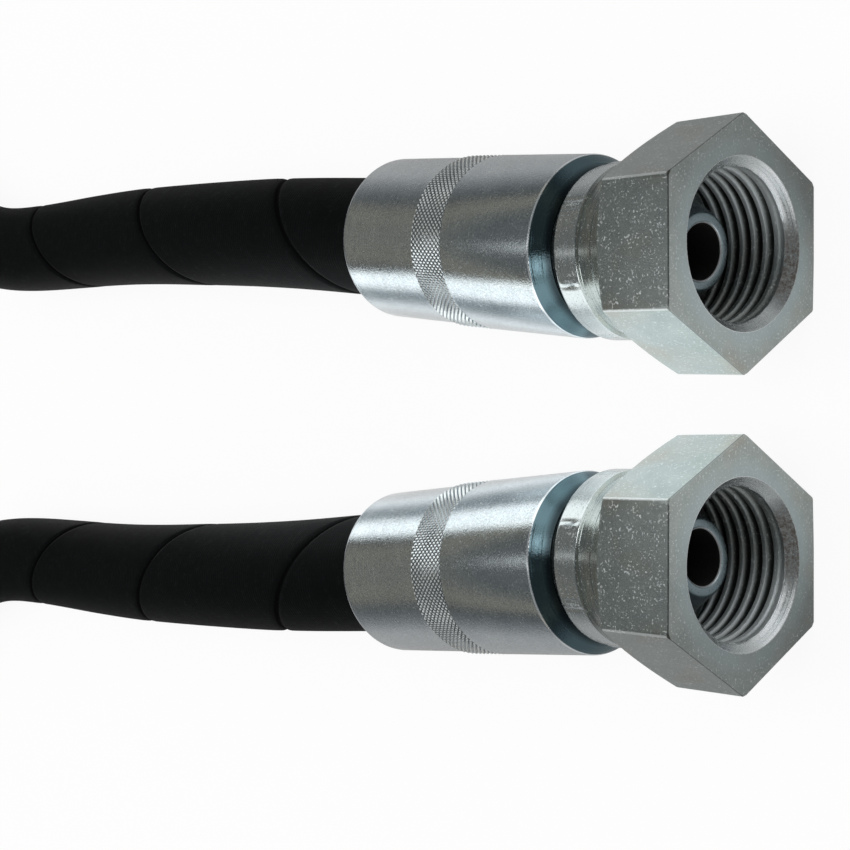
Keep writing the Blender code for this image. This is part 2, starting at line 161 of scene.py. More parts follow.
class Kit:
    # the nodes of one material, or of the world
    def __init__(self, owner):
        owner.use_nodes = True
        self.owner, self.tree, self.made = owner, owner.node_tree, 0

    def node(self, kind, settings, inputs, out=0):
        # a node of that type: its settings first, ramp stops among them, then its sockets
        node = self.tree.nodes.new("ShaderNode" + kind)
        node.location = (self.made * 60 - 3000, -(self.made % 7) * 160)
        self.made += 1
        for key, value in settings.items():
            if key == "stops":
                ramp = node.color_ramp.elements
                while len(ramp) < len(value):
                    ramp.new(0.5)
                for element, (place, tone) in zip(ramp, value):
                    element.position, element.color = place, (*tone, 1.0)
            else:
                setattr(node, key, value)
        for key, value in inputs.items():
            self.feed(node.inputs[key], value)
        return Wire(self, node.outputs[out])

    def feed(self, socket, value):
        if isinstance(value, Wire):
            self.tree.links.new(value.socket, socket)
        else:
            socket.default_value = value

    def spot(self):
        return self.node("Attribute", {"attribute_name": "spot"}, {}, out=1)

    def noise(self, place, scale, detail=2.0, roughness=0.5):
        return self.node("TexNoise", {}, {"Vector": place, "Scale": scale, "Detail": detail,
                                          "Roughness": roughness})

    def blend(self, share, first, second):
        # colours as (red, green, blue) or wires
        first, second = (value if isinstance(value, Wire) else (*value, 1.0)
                         for value in (first, second))
        return self.node("Mix", {"data_type": "RGBA"}, {0: share, 6: first, 7: second}, out=2)

    def surface(self, values):
        # what varies is linked to the shader's own sockets, the rest is set on them
        for key, value in values.items():
            self.feed(self.tree.nodes["Principled BSDF"].inputs[key], value)
        return self.owner


hose = {
    # half of the centre line, from inside ferrule a to the mirror plane, in metres
    "half": [
        (0.00447, 0.02090, 0.01350), (-0.01358, 0.02286, 0.01350), (-0.03162, 0.02482, 0.01350),
        (-0.04952, 0.02676, 0.01350), (-0.07740, 0.02930, 0.01245), (-0.10530, 0.03120, 0.01075),
        (-0.13330, 0.03240, 0.00935), (-0.15670, 0.03280, 0.00905), (-0.17630, 0.03450, 0.00905),
        (-0.19360, 0.03920, 0.00905), (-0.21050, 0.04760, 0.00905), (-0.22630, 0.05980, 0.00905),
        (-0.24090, 0.07330, 0.00905), (-0.25670, 0.08390, 0.00905), (-0.27430, 0.09100, 0.00905),
        (-0.29530, 0.09460, 0.00905), (-0.32120, 0.09250, 0.00905), (-0.34750, 0.08240, 0.00905),
        (-0.36980, 0.06490, 0.00905), (-0.38560, 0.04210, 0.00905), (-0.39350, 0.01940, 0.00905),
        (-0.39550, 0.00000, 0.00905),
    ],
    # node, record slot, inner and outer radius in mm, what it is made of
    "layers": [
        ("inner_tube", "tube_rubber", 4.95, 6.20, "rubber"),
        ("wire_braid_inner", "inner_braid_wire", 6.40, 6.90, "wire"),
        ("braid_interlayer", "interlayer_rubber", 7.10, 7.40, "rubber"),
        ("wire_braid_outer", "outer_braid_wire", 7.60, 8.10, "wire"),
    ],
    "layerRows": 150, "layerSides": 36,
    "coverRadii": (8.30, 8.90), "coverSides": 72, "boreRows": 240,
    "lapPitch": 46.5,          # of the wrapping tape's edge, along the hose, in mm
    "lapStart": 8.3,           # where the first edge crosses the hose's top line
    # height over the cover in mm at parts of one pitch, from one edge of the tape to the next
    "lapShape": [(0.0, -0.46), (0.010, -0.40), (0.022, -0.10), (0.036, 0.02), (0.07, 0.05),
                 (0.16, 0.04), (0.40, 0.0), (0.70, -0.02), (0.90, 0.0), (0.962, 0.01),
                 (0.978, -0.04), (0.990, -0.30)],
    "rowsPerLap": 24,
    "sway": (0.04, 0.03),      # how far the cover is out of round, in mm
    "swayLengths": (23, 9),    # along the hose, in mm to a radian
    "plainEnd": 2,             # mm over which laps and sway fade in from each end
    "threadPitch": 0.62,       # of the fabric's mark round the hose, in mm
    "crossThreads": 96,
    "rubber": {"dark": (0.0016, 0.0018, 0.0019), "light": (0.0031, 0.0039, 0.0042),
               "worn": (0.008, 0.011, 0.012), "lap": (0.001, 0.001, 0.001),
               "rough": 0.56, "lapRough": 0.4, "gloss": 0.06,
               # height of the threads, of those that cross them and of the grain
               "relief": (0.55, 0.12, 0.5),
               # the lap's line fades in between these distances from a pitch's middle
               "lapLine": (0.479, 0.491)},
    "innerRubber": {"dark": (0.014, 0.014, 0.015), "light": (0.032, 0.031, 0.030),
                    "rough": 0.45},
    "braid": {"pitch": 34.0, "bundles": 20, "wires": 160, "rough": 0.28,
              "dark": (0.28, 0.21, 0.11), "light": (0.70, 0.58, 0.36)},
}


def smoothLine(points, samples=60):
    # natural cubic spline by chord length: each span is a cubic, and one linear system finds the
    # second derivatives that make neighbouring spans agree in slope and bend
    run = np.diff(points, axis=0)
    step = np.linalg.norm(run, axis=1)
    chord = run / step[:, None]
    count = len(points)
    inner = np.arange(1, count - 1)
    system = np.eye(count)
    system[inner, inner - 1] = step[:-1]
    system[inner, inner] = 2 * (step[:-1] + step[1:])
    system[inner, inner + 1] = step[1:]
    right = np.zeros((count, 3))
    right[1:-1] = 6 * np.diff(chord, axis=0)
    bend = np.linalg.solve(system, right)
    first, last, span = bend[:-1, None], bend[1:, None], step[:, None, None]
    t = np.linspace(0.0, 1.0, samples, endpoint=False)[None, :, None] * span
    slope = chord[:, None] - span * (2 * first + last) / 6
    line = points[:-1, None] + slope * t + first * t ** 2 / 2 + (last - first) / span * t ** 3 / 6
    return np.vstack([line.reshape(-1, 3), points[-1:]])


hoseHalf = np.array(hose["half"])
hoseLine = smoothLine(np.vstack([hoseHalf, hoseHalf[-2::-1] * (1, -1, 1)]))
hoseRun = np.concatenate([[0.0], np.cumsum(np.linalg.norm(np.diff(hoseLine, axis=0), axis=1))])
hoseLength = float(hoseRun[-1])


def alongHose(run, angle, radius):
    # the point at that distance along the centre line, angle round it from the top and radius:
    # centre + radius * (cos angle * upward + sin angle * sideways), with both square to the line
    def read(table):
        return np.stack([np.interp(run, hoseRun, table[:, k]) for k in range(3)], axis=-1)

    heading = read(np.gradient(hoseLine, hoseRun, axis=0))
    heading /= np.linalg.norm(heading, axis=-1, keepdims=True)
    sideways = np.cross((0.0, 0.0, 1.0), heading)
    sideways /= np.linalg.norm(sideways, axis=-1, keepdims=True)
    upward = np.cross(heading, sideways)
    radius, angle = np.asarray(radius)[..., None], np.asarray(angle)[..., None]
    return read(hoseLine) + radius * (np.cos(angle) * upward + np.sin(angle) * sideways)


def layHose(name, run, angle, radius, material, node, sharp=35.0):
    # a closed tube on half of the line and its mirror image in the XZ plane; its pattern is the
    # same grid as if the hose were straight
    run, angle, radius = np.broadcast_arrays(run, angle, radius)
    points = alongHose(run, angle, radius).reshape(-1, 3)
    pattern = np.stack([run, radius * np.sin(angle), radius * np.cos(angle)], axis=-1) / mm
    faces = gridFaces(*run.shape)
    points = np.vstack([points, points * (1, -1, 1)])
    faces = np.vstack([faces, faces[:, ::-1] + len(points) // 2])
    pattern = np.vstack([pattern.reshape(-1, 3)] * 2)
    return buildPiece(name, points, faces, pattern, material, "hose_line", node, sharp)


def makeLayer(node, inner, outer, material):
    # a plain tube: its rows run back along the bore and out along the outside
    rows = np.linspace(0.0, hoseLength / 2, hose["layerRows"])
    run = np.concatenate([rows[::-1], rows])[:, None]
    radius = np.repeat([inner, outer], hose["layerRows"])[:, None] * mm
    angle = np.linspace(-math.pi, math.pi, hose["layerSides"] + 1)[None, :]
    return layHose(node + "Dressed", run, angle, radius, material, node)


def makeCover(material):
    # the bore as above, then outside rows that follow the wrapping's lap edge: the row at part f
    # of turn k lies at (k + f) * pitch - pitch * angle / full turn, held within the hose's half,
    # and its height over the cover comes from the lap's shape at f
    inner, outer = np.array(hose["coverRadii"]) * mm
    half, pitch = hoseLength / 2, hose["lapPitch"] * mm
    angle = np.linspace(-math.pi, math.pi, hose["coverSides"] + 1)[None, :]
    shape = np.array(hose["lapShape"])
    part = np.union1d(shape[:, 0], np.linspace(0.05, 0.95, hose["rowsPerLap"]))
    turns = np.arange(-2, math.ceil(half / pitch) + 2)[:, None]
    station = ((turns + part) * pitch + hose["lapStart"] * mm).reshape(-1, 1)
    height = np.tile(np.interp(part, shape[:, 0], shape[:, 1]) * mm, len(turns))[:, None]
    run = station - pitch * angle / turn
    slow, quick = np.array(hose["sway"]) * mm
    slowLength, quickLength = np.array(hose["swayLengths"]) * mm
    sway = slow * np.sin(run / slowLength + 2 * angle) + quick * np.sin(run / quickLength - angle)
    fade = hose["plainEnd"] * mm
    taper = np.clip(run / fade, 0.0, 1.0) * np.clip((half - run) / fade, 0.0, 1.0)
    radius = outer + (height + sway) * taper
    boreRun = np.linspace(half, 0.0, hose["boreRows"])[:, None] + 0 * angle
    run = np.vstack([boreRun, np.clip(run, 0.0, half)])
    radius = np.vstack([0 * boreRun + inner, radius])
    return layHose("hoseCover", run, angle, radius, material, "outer_cover",
                   sharp=50.0)


def coverRubber():
    kit = Kit(bpy.data.materials.new("coverRubber"))
    look = hose["rubber"]
    spot = kit.spot()
    along, sideways, upward = spot.split()
    around = sideways.maths("ARCTAN2", upward) / turn
    # the tape's weave: fine threads round the hose, crossed by fainter ones along it
    wobble = kit.noise(spot, 0.6, 2.0) * 0.5
    threads = ((along / hose["threadPitch"] + around + wobble) * turn).maths("SINE") * 0.5 + 0.5
    crossing = (around * (hose["crossThreads"] * turn)).maths("SINE") * 0.5 + 0.5
    patch = kit.noise(spot, 0.25, 3.0, 0.6)
    grain = kit.noise(spot, 5.0, 3.0, 0.6)
    threadRelief, crossRelief, grainRelief = look["relief"]
    height = (threads * patch.between(0.3, 0.65) * threadRelief + crossing * crossRelief
              + grain * grainRelief)
    # the groove along the lap's edge is darker and duller
    lap = ((along - hose["lapStart"]) / hose["lapPitch"] + around).maths("FRACT")
    groove = (lap - 0.5).maths("ABSOLUTE").between(*look["lapLine"])
    worn = kit.noise(spot, 0.9, 4.0, 0.65).between(0.52, 0.72)
    base = kit.blend(patch, look["dark"], look["light"])
    base = kit.blend(worn * threads * 0.6, base, look["worn"])
    base = kit.blend(groove * 0.8, base, look["lap"])
    rough = look["rough"] + grain * 0.14 - worn * 0.06 + groove * look["lapRough"]
    normal = kit.node("Bump", {}, {"Strength": 0.35, "Distance": 0.00012, "Height": height})
    return kit.surface({"Base Color": base, "Roughness": rough,
                        "Specular IOR Level": look["gloss"], "Normal": normal})


def layerRubber(name):
    kit = Kit(bpy.data.materials.new(name))
    look = hose["innerRubber"]
    grain = kit.noise(kit.spot(), 2.0, 3.0)
    normal = kit.node("Bump", {}, {"Strength": 0.3, "Distance": 0.0001, "Height": grain})
    return kit.surface({"Base Color": kit.blend(grain, look["dark"], look["light"]),
                        "Roughness": look["rough"] + grain * 0.3, "Normal": normal})


def braidWire(name):
    # two families of fine wires at opposite slants, which go over and under in bundles
    kit = Kit(bpy.data.materials.new(name))
    look = hose["braid"]
    spot = kit.spot()
    along, sideways, upward = spot.split()
    around = sideways.maths("ARCTAN2", upward) / turn
    over, under = along / look["pitch"] + around, along / look["pitch"] - around
    square = (((over * look["bundles"]).maths("FRACT") - 0.5)
              * ((under * look["bundles"]).maths("FRACT") - 0.5))
    top = square.between(-0.002, 0.002)
    wires = ((over * (look["wires"] * turn)).maths("SINE") * top
             + (under * (look["wires"] * turn)).maths("SINE") * (1.0 - top))
    normal = kit.node("Bump", {}, {"Strength": 0.6, "Distance": 0.00015, "Height": wires})
    return kit.surface({"Base Color": kit.blend(wires * 0.5 + 0.5, look["dark"], look["light"]),
                        "Roughness": look["rough"] + kit.noise(spot, 2.0, 3.0) * 0.2,
                        "Metallic": 1.0, "Normal": normal})


cover = makeCover(coverRubber())
makers = {"wire": braidWire, "rubber": layerRubber}
layers = [makeLayer(node, inner, outer, makers[kind](slot))
          for node, slot, inner, outer, kind in hose["layers"]]
print("hose laid:", round(hoseLength / mm, 1), "mm")


seating = {
    "pivot": (0.0187252, 0.0193486, 0.0135),
    "pivotDepth": 13.7,        # mm behind the nut's mouth face
    "nutSplay": 1.4,           # degrees that a nut's axis turns in from +X
    "insertSplay": 6.2,
}


def seat(local, side, splay):
    # local x across, y up and z out of the mouth, in mm, to the frame: a turn about the vertical
    # through the pivot, which both axes of an end pass; side is 1 for end a and -1 for end b
    yaw = -side * math.radians(splay)
    axes = np.array([[-math.sin(yaw), math.cos(yaw), 0.0], [0.0, 0.0, 1.0],
                     [math.cos(yaw), math.sin(yaw), 0.0]])
    x, y, z = seating["pivot"]
    local = local.reshape(-1, 3) + (0.0, 0.0, seating["pivotDepth"])
    return local * mm @ axes + (x, side * y, z)


def turnedGrid(radius, depth, angle):
    # a surface of revolution, or of nearly one: radius and depth behind the mouth's face as grids
    # of rows by columns, angle round the axis for each column
    radius, depth, angle = np.broadcast_arrays(radius, depth, angle)
    return np.stack([radius * np.cos(angle), radius * np.sin(angle), -depth], axis=-1)


ferrule = {
    # closed outline: radius, depth behind the mouth's face and edge rounding, in mm
    "outline": [
        (9.95, 22.54, 0.1), (10.9, 23.55, 0.5), (12.0, 24.75, 0.22),
        (12.0, 41.65, 0.05), (11.90, 41.71, 0.03), (11.90, 47.73, 0.03), (11.72, 47.81, 0.1),
        (11.65, 63.54, 0.6), (10.85, 64.34, 0.5), (9.8, 64.34, 0.1), (9.3, 63.1, 0.3),
        (9.8, 58.3, 0.1), (9.3, 58.2, 0.3), (9.8, 52.3, 0.1), (9.3, 52.2, 0.3), (9.8, 46.3, 0.1),
        (9.3, 46.2, 0.3), (9.8, 40.2, 0.1), (9.3, 40.1, 0.3), (9.8, 34.2, 0.1),
        (9.3, 34.1, 0.3), (9.8, 30.0, 0.1), (9.8, 25.74, 0.2), (5.9, 25.74, 0.1), (5.9, 22.54, 0.1),
    ],
    "bandRadius": 11.9,
    "band": (41.8, 47.7),      # knurled, between these depths
    "knurls": 96,              # round the band
    "knurlSamples": 6,         # columns to one knurl
    "knurlDepth": 0.18,        # in mm, to one unit of the waves' height
    "knurlLevel": 0.55,        # the height, from 0 to 2, that lies on the band's radius
    "knurlClip": (-0.4, 0.75),     # how far below and above it grooves and tops are cut flat
}


def makeFerrule(end, side, material):
    # the outline turned about the axis; between the band's edges the rows step by a sixth of a
    # knurl, and the height is the lesser of two crossed triangle waves, which makes diamonds
    outline = roundCorners(ferrule["outline"])
    low, high = ferrule["band"]
    pitch = turn * ferrule["bandRadius"] / ferrule["knurls"]
    steps = int(round((high - low) / pitch * ferrule["knurlSamples"])) + 1
    bandRows = np.stack([np.full(steps, ferrule["bandRadius"]), np.linspace(low, high, steps)],
                        axis=1)
    outside = outline[:, 0] > ferrule["bandRadius"] - 0.05
    before = np.flatnonzero((outline[:, 1] < low) & outside)[-1] + 1
    rows = np.vstack([outline[:before], bandRows, outline[before:]])
    angle = np.linspace(0.0, turn, ferrule["knurls"] * ferrule["knurlSamples"] + 1)[None, :]
    depth = rows[:, 1:2]
    around, across = angle * ferrule["knurls"] / turn, (depth - low) / pitch

    def wave(phase):
        return np.abs((phase % 1.0) - 0.5) * 2

    height = np.minimum(wave(around + across), wave(around - across)) * 2 - ferrule["knurlLevel"]
    inBand = np.zeros((len(rows), 1))
    inBand[before:before + steps] = ferrule["knurlDepth"]
    radius = rows[:, 0:1] + np.clip(height, *ferrule["knurlClip"]) * inBand
    local = turnedGrid(radius, depth, angle)
    buildPiece(f"ferruleBody_{end}", seat(local, side, seating["insertSplay"]),
               gridFaces(*local.shape[:2], closeRows=True), local * (side, 1, 1), material,
               "hose_line", f"ferrule_{end}", sharp=26.0)


insert = {
    "outline": [
        (3.5, 6.65, 0.12), (3.72, 6.42, 0.18), (4.72, 6.4, 0.28), (5.0, 6.80, 0.2),
        (8.75, 13.42, 0.3), (8.75, 16.62, 0.3), (6.4, 17.92, 0.3), (6.4, 22.24, 0.05),
        (5.6, 22.24, 0.05), (5.6, 26.04, 0.05), (7.2, 26.04, 0.1), (7.2, 27.74, 0.1),
        (4.3, 27.74, 0.1), (4.65, 30.7, 0.05), (4.3, 34.2, 0.1), (4.65, 36.6, 0.05),
        (4.3, 40.1, 0.1), (4.65, 42.5, 0.05), (4.3, 46.0, 0.1), (4.65, 48.4, 0.05),
        (4.3, 51.9, 0.1), (4.65, 54.3, 0.05), (4.3, 57.8, 0.1), (4.3, 60.24, 0.1),
        (3.5, 60.24, 0.1),
    ],
    "columns": 96,
}


def makeInsert(end, side, material):
    # the outline turned about the axis
    rows = roundCorners(insert["outline"])
    angle = np.linspace(0.0, turn, insert["columns"] + 1)[None, :]
    local = turnedGrid(rows[:, 0:1], rows[:, 1:2], angle)
    buildPiece(f"insertBody_{end}", seat(local, side, seating["insertSplay"]),
               gridFaces(*local.shape[:2], closeRows=True), local * (side, 1, 1), material,
               "hose_line", f"insert_{end}", sharp=40.0)


nut = {
    "flats": 27.0,
    "spin": 2.0,               # degrees that the nut is turned from its flats lying level
    "cornerRadius": 0.40,      # rounding of the hexagon's long edges
    "frontCorner": 15.40,      # radius at which the front chamfer starts
    "frontEdge": 0.16,         # rounding of the front's edge, and its points as shares of that,
                               # inwards and back
    "edgeSteps": [(1.0, 0.0), (0.32, 0.10), (0.06, 0.40)],
    "frontSlope": 0.6,
    "chamferStart": 10.35,     # depth of the rear chamfer at a sharp corner
    "chamferSlope": 0.445,
    "rearEdge": 0.2, "rearDrop": 0.03,     # rounding where it starts, and how much that cuts off
    "perFlat": 33,             # columns along a flat
    "faceRing": 10.9,          # radius of a ring of points on the front face
    # the thread's least and greatest radius, its pitch and the depth at which it ends
    "minor": 9.3155, "major": 10.4775, "pitch": 1.814, "threadEnd": 11.8,
    "mouthChamfer": 1.14,      # how much wider than the thread the mouth's cone starts
    "mouthSlope": 1.09,        # depth of that cone to 1 mm of radius
    "threadFade": (1.4, 3.9),      # the cut deepens from nothing between these depths
    # part of a pitch, and depth there from the crest to the root as a share
    "threadShape": [(0.0, 0.05), (0.04, 0.02), (0.09, 0.006), (0.165, 0.0), (0.24, 0.006),
                    (0.29, 0.02), (0.33, 0.05), (0.37, 0.12), (0.47, 0.36), (0.58, 0.72),
                    (0.635, 0.88), (0.677, 0.93), (0.719, 0.88), (0.775, 0.72), (0.888, 0.36),
                    (0.965, 0.12)],
    "jawMarks": 7,             # ridges that the swaging jaws left round the lip
    "jawTurn": -2.5,           # degrees that they lie further out than evenly about the top
    "ridgeHeight": 0.20, "ridgeWidth": 0.22,
    "ridgeStep": 0.55, "ridgeDip": 0.6,    # a groove this far beside each, as deep as this share
    "lipRadius": 11.28, "lipFloor": 11.0,  # rows inside the second radius stay plain
    "lipMarks": (17.2, 17.7, 20.1, 20.6),  # depths at which the marks start, are full and end
    # radius, depth and rounding behind the rear chamfer, then the bore from the rear
    "rear": [(11.2, 12.35, 0.25), (11.2, 13.35, 0.06), (11.08, 13.45, 0.06), (11.08, 14.64, 0.1),
             (10.9, 14.94, 0.15), (10.9, 16.80, 0.1), (11.28, 17.10, 0.1), (11.28, 17.5, 0.0),
             (11.28, 18.4, 0.0), (11.28, 19.6, 0.0), (11.28, 20.75, 0.3), (10.6, 21.24, 0.3),
             (7.4, 21.24, 0.25), (7.4, 19.04, 0.2), (9.3155, 17.70, 0.2), (9.3155, 14.20, 0.1),
             (10.6275, 13.6, 0.1), (10.6275, 11.85, 0.1)],
    # the outline's way on to the thread, which is left off from this radius inwards
    "rearClose": [(9.6, 10.9, 0.0), (9.6, 10.0, 0.0)], "reliefFloor": 10.62,
}


def hexagonColumns(side):
    # points round a hexagon with rounded corners, flats up and down: along each flat at a sine's
    # spacing, closest at the ends, then round the corner's arc; given as angle and radius
    half, soft = nut["flats"] / 2, nut["cornerRadius"]
    reach = (half - soft) * math.tan(math.pi / 6)
    place = reach * np.sin(np.linspace(-math.pi / 2, math.pi / 2, nut["perFlat"]))
    flat = np.stack([np.full(len(place), half), place], axis=1)
    bend = np.radians([12.0, 24.0, 36.0, 48.0])
    arc = np.stack([half - soft + soft * np.cos(bend), reach + soft * np.sin(bend)], axis=1)
    sixth = np.vstack([flat, arc])[None]
    spin = math.pi / 6 + math.pi / 3 * np.arange(6)[:, None] + side * math.radians(nut["spin"])
    x = (sixth[..., 0] * np.cos(spin) - sixth[..., 1] * np.sin(spin)).reshape(-1)
    y = (sixth[..., 0] * np.sin(spin) + sixth[..., 1] * np.cos(spin)).reshape(-1)
    angle = np.unwrap(np.arctan2(y, x))
    return np.append(angle, angle[0] + turn), np.append(np.hypot(x, y), math.hypot(x[0], y[0]))


def threadRadius(depth, angle):
    # the bore's radius at any depth and angle: the pitch's shape read at the phase
    # depth / pitch + angle / full turn, which makes a helix, and the mouth's cone over it
    shape = np.array(nut["threadShape"] + [(1.0, nut["threadShape"][0][1])])
    share = np.interp((depth / nut["pitch"] + angle / turn) % 1.0, shape[:, 0], shape[:, 1])
    share = share * np.interp(depth, nut["threadFade"], (0.0, 1.0))
    cut = nut["minor"] + share * (nut["major"] - nut["minor"])
    return np.maximum(cut, nut["minor"] + nut["mouthChamfer"] - depth / nut["mouthSlope"])


def makeNut(end, side, material):
    # rows from the mouth's edge over the front face, the hexagon, the rear chamfer, which cuts
    # each flat in an arc, the collar and the swaged lip, then up the bore; the thread's rows
    # follow its helix: the row at part f of turn k lies at (k + f) * pitch - pitch * angle / full
    # turn; a jaw's mark is a bell curve's ridge less a lower one beside it
    angle, hexagon = hexagonColumns(side)
    ones = np.ones_like(angle)
    edge, front = nut["frontEdge"], np.minimum(hexagon, nut["frontCorner"])
    rearEdge = nut["chamferStart"] + (nut["flats"] / math.sqrt(3) - hexagon) * nut["chamferSlope"]
    soft = nut["rearEdge"]
    rows = [
        (threadRadius(0.0, angle), 0.0), (nut["faceRing"], 0.0),
        *((front - inwards * edge, back * edge) for inwards, back in nut["edgeSteps"]),
        (hexagon, edge + (hexagon - front) * nut["frontSlope"]), (hexagon, rearEdge * 0.5),
        (hexagon, rearEdge - soft), (hexagon - nut["rearDrop"], rearEdge),
        (hexagon - soft, rearEdge + soft * nut["chamferSlope"]),
    ]
    rear = roundCorners(nut["rear"] + nut["rearClose"])
    rear = rear[:np.flatnonzero(rear[:, 0] > nut["reliefFloor"])[-1] + 1]
    gap = turn / nut["jawMarks"]
    fromTop = side * (angle - math.pi / 2) - math.radians(nut["jawTurn"])
    off = np.abs(fromTop % gap - gap / 2) * nut["lipRadius"]
    ridge = nut["ridgeHeight"] * (
        np.exp(-(off / nut["ridgeWidth"]) ** 2)
        - nut["ridgeDip"] * np.exp(-((off - nut["ridgeStep"]) / nut["ridgeWidth"]) ** 2))
    swell = np.interp(rear[:, 1], nut["lipMarks"], [0.0, 1.0, 1.0, 0.0])
    swell = swell * (rear[:, 0] > nut["lipFloor"])
    rows += [(r + s * ridge, d) for (r, d), s in zip(rear, swell)]
    part = np.array(nut["threadShape"])[:, 0]
    turns = np.arange(math.ceil(nut["threadEnd"] / nut["pitch"]) + 2)[:, None]
    station = ((turns + part) * nut["pitch"]).reshape(-1, 1)[::-1]
    helix = np.clip(station - angle / turn * nut["pitch"], 0.0, nut["threadEnd"])
    rows += [(threadRadius(d, angle), d) for d in helix]
    local = turnedGrid(np.stack([r * ones for r, d in rows]), np.stack([d * ones for r, d in rows]),
                       angle[None, :])
    buildPiece(f"swivelNut_{end}", seat(local, side, seating["nutSplay"]),
               gridFaces(*local.shape[:2], closeRows=True), local * (side, 1, 1), material,
               f"nut_{end}", f"swivel_nut_{end}", sharp=32.0)


zincLook = {
    # haze is the share that isn't metal, sparkle the height of the grain; specks, dirt, cloud,
    # grain and tarnish are how much of each shows in the colour
    "ferrule": {"dark": (0.32, 0.355, 0.375), "light": (0.68, 0.73, 0.75), "rough": 0.13,
                "sparkle": 0.75, "haze": 0.02, "specks": 0.12, "dirt": 0.30, "cloud": 0.4,
                "grain": 1.3, "tarnish": 0.06},
    "insert": {"dark": (0.17, 0.22, 0.24), "light": (0.27, 0.34, 0.37), "rough": 0.30,
               "sparkle": 0.08, "haze": 0.06, "specks": 0.05, "dirt": 0.10, "cloud": 1.2,
               "grain": 0.0, "tarnish": 0.0},
    "nut": {"dark": (0.27, 0.305, 0.295), "light": (0.395, 0.435, 0.42), "rough": 0.36,
            "sparkle": 0.26, "haze": 0.05, "specks": 0.72, "dirt": 0.16, "cloud": 1.5,
            "grain": 0.3, "tarnish": 0.5},
    "colours": {
        # the pale highlight, knurlTop, ring and shadow colours are painted light and shade; the
        # dark coat and the powder are also painted shade and highlight in places
        "warm": (0.30, 0.26, 0.21), "grime": (0.05, 0.05, 0.047), "powder": (0.66, 0.70, 0.70),
        "bright": (0.66, 0.70, 0.72), "shine": (0.93, 0.95, 0.97), "cool": (0.40, 0.48, 0.50),
        "stain": (0.115, 0.085, 0.065), "knurlTop": (0.85, 0.87, 0.86),
        "ring": (0.085, 0.135, 0.155), "shadow": (0.01, 0.012, 0.013),
    },
    # parts of the pieces by radius and by depth behind the mouth's face, in mm: over each pair
    # a part fades in (from) or out (to)
    "zones": {
        "collar": {"fromDepth": (12.2, 12.5), "fromRadius": (10.7, 10.8), "toRadius": (11.6, 11.7)},
        "lip": {"fromDepth": (17.0, 17.2)},
        "mouth": {"toDepth": (1.2, 1.5), "fromRadius": (8.9, 9.0), "toRadius": (10.5, 10.55)},
        "mouthEdge": {"toDepth": (0.1, 0.2), "fromRadius": (10.5, 10.6), "toRadius": (10.9, 13.6)},
        "groove": {"fromRadius": (9.55, 10.05), "toRadius": (10.50, 10.55),
                   "fromDepth": (1.3, 1.9), "toDepth": (11.9, 12.4)},
        "crest": {"fromRadius": (9.0, 9.1), "toRadius": (9.42, 9.85),
                  "fromDepth": (1.0, 1.6), "toDepth": (11.9, 12.4)},
        "front": {"fromRadius": (13.1, 13.2), "fromDepth": (0.02, 0.05), "toDepth": (0.20, 0.26)},
        "corner": {"fromRadius": (15.46, 15.51), "fromDepth": (0.3, 0.4), "toDepth": (10.8, 11.0)},
        "bore": {"toRadius": (3.6, 3.65)},
        "boreRim": {"fromRadius": (3.45, 3.5), "toRadius": (3.66, 3.72), "toDepth": (6.6, 6.7)},
        "ring": {"fromRadius": (9.8, 9.9), "fromDepth": (22.4, 22.5), "toDepth": (24.56, 24.64)},
        "ringInside": {"toRadius": (10.1, 11.0)},
        "rim": {"fromRadius": (11.7, 11.8), "fromDepth": (24.58, 24.66), "toDepth": (24.80, 24.90)},
        "knurled": {"fromRadius": (11.80, 11.81), "fromDepth": (41.7, 41.8),
                    "toDepth": (47.7, 47.8)},
        "knurlTop": {"fromRadius": (11.92, 12.01)},
        "knurlGap": {"toRadius": (11.84, 11.90)},
    },
    # patches on the mouth's cone, a stain and a painted highlight: their middle round the bore, and
    # the distances from it over which they fade, in radians
    "stainPlace": (-1.80, 0.22, 0.715),
    "paintedHighlightPlace": (-0.80, 0.21, 0.63),
    "outerSide": (-0.35, 0.75),    # over these shares of the radius crests are painted paler outwards, as painted light
    "crestInside": 0.2,            # how much of that they keep on the inner side
    "lineScale": 5.0, "lineWaver": 1.2,    # how close the turned lines lie and how they wander
    # how much the fine grain, and the lines everywhere and on turned parts, show in the tone
    "fineTone": 0.8, "lineTone": 0.15, "brushTone": 2.6,
    "brush": 1.6,                  # depth of the turned lines on the collar, lip and mouth
    "fineRough": 0.22, "cloudRough": 0.06,
    # what each part or mark adds to the roughness, and what it takes from the metal
    "rougher": {"powder": 0.15, "bore": 0.5, "stained": 0.15, "collar": -0.17, "mouth": -0.08},
    "duller": {"stained": 0.3, "crest": 0.6, "shine": 0.7, "corner": 0.4, "rim": 0.2,
               "knurlTop": 0.45},
    "speckDull": 0.5,              # the same for the specks, by how many a piece has
}


